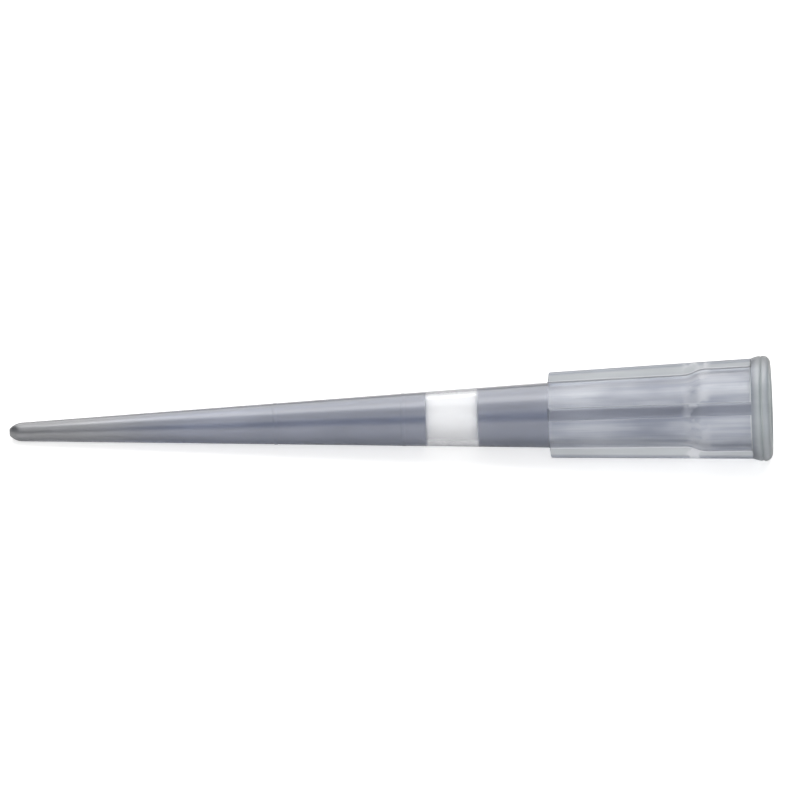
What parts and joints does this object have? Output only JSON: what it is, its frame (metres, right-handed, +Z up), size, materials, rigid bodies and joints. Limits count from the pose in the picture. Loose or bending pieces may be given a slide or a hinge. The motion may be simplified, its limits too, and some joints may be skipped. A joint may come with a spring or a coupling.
{
  "type": "filter pipette tip",
  "caption": "Slender translucent plastic pipette tip with a white filter plug in its bore, and a ribbed hub with a beaded rim that presses on to a pipette.",
  "frame": {"origin": "on the surface the tip lies on, under the middle of its bounding box", "axes": "+X along the tip from the nose to the rim, +Z up; the tip lies on its bead and its nose, so its own axis climbs 3.3 degrees towards +X in the XZ plane"},
  "size_m": [0.0532, 0.0074, 0.0073],
  "materials": {
    "translucent_polypropylene": "satin, cloudy and translucent, with faint flow streaks along its length",
    "porous_polyethylene": "matt, fine sintered grain"
  },
  "bodies": {
    "root": {"tip_body": "translucent_polypropylene", "filter_plug": "porous_polyethylene"}
  },
  "joints": []
}
